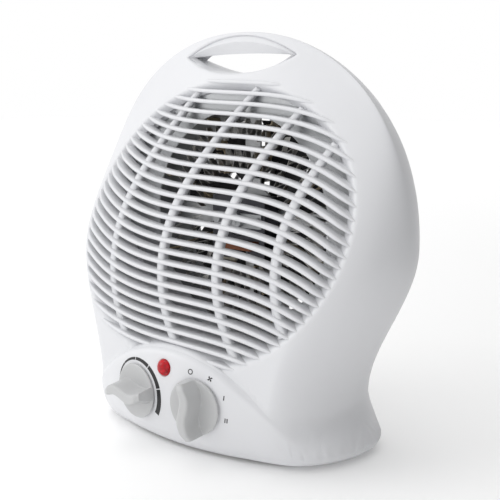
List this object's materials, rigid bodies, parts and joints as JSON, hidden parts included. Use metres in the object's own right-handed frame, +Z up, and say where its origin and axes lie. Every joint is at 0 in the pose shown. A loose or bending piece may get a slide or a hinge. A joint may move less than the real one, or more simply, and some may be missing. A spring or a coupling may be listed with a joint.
{
  "type": "fan convector heater",
  "caption": "Upright fan heater with a round slatted head, a carry-handle opening, a lower panel with thermostat and switch knobs and a pilot lamp, and a rear air inlet.",
  "frame": {"origin": "middle of the footprint, on the surface the feet stand on", "axes": "+Z up, -Y out of the outlet grille and the control panel, +X to the right seen from the front"},
  "size_m": [0.242, 0.1218, 0.25],
  "materials": {
    "cover_plastic": "fine satin moulding texture",
    "knob_plastic": "satin moulding",
    "duct_plastic": "satin moulding",
    "phenolic": "matt",
    "black_plastic": "satin",
    "fan_plastic": "satin",
    "rubber": "matt",
    "lamp_red": "clear red moulding",
    "neon_glass": "clear",
    "steel": "zinc plated",
    "bimetal": "satin",
    "brass": "bright",
    "mica": "flaky sheet",
    "nichrome": "heat darkened",
    "laminations": "varnished laminations",
    "copper_coil": "enamelled winding",
    "lead_brown": "smooth insulation",
    "lead_blue": "smooth insulation"
  },
  "bodies": {
    "housing": {"front_cover": "cover_plastic", "rear_cover": "cover_plastic", "rubber_feet": "rubber", "cover_screws": "steel", "lamp_lens": "lamp_red", "neon_lamp": "neon_glass", "control_bracket": "steel", "thermostat_body": "phenolic", "thermostat_blade": "bimetal", "switch_body": "black_plastic", "switch_contacts": "brass", "duct_ring": "duct_plastic", "baffle_plate": "steel", "mica_plates": "mica", "heating_ribbon_outer": "nichrome", "heating_ribbon_inner": "nichrome", "ribbon_rivets": "steel", "thermal_cutout": "black_plastic", "thermal_fuse": "phenolic", "motor_bracket": "steel", "motor_stator": "laminations", "motor_coil": "copper_coil", "front_bearing_plate": "steel", "rear_bearing_plate": "steel", "motor_screws": "steel", "duct_screws": "steel", "terminal_block": "phenolic", "cord_gland": "rubber", "cord_clamp": "duct_plastic", "clamp_screws": "steel", "lead_switch": "lead_brown", "lead_thermostat": "lead_blue", "lead_motor": "black_plastic", "lead_lamp": "black_plastic"},
    "fan": {"fan_impeller": "fan_plastic", "motor_rotor": "laminations", "motor_shaft": "steel", "fan_clip": "steel"},
    "thermostat_dial": {"thermostat_knob": "knob_plastic", "thermostat_spindle": "steel"},
    "switch_dial": {"switch_knob": "knob_plastic", "switch_spindle": "steel"}
  },
  "joints": [
    {"name": "fan_spin", "type": "hinge", "parent": "housing", "child": "fan", "pos_m": [0, 0.04, 0.134], "axis": [0, 1, 0], "continuous": true},
    {"name": "thermostat_turn", "type": "hinge", "parent": "housing", "child": "thermostat_dial", "pos_m": [-0.0235, -0.04538, 0.035], "axis": [0.1219, 0.9925, 0], "range_deg": [0, 220]},
    {"name": "switch_turn", "type": "hinge", "parent": "housing", "child": "switch_dial", "pos_m": [0.0235, -0.04538, 0.035], "axis": [-0.1219, 0.9925, 0], "range_deg": [0, 114]}
  ]
}
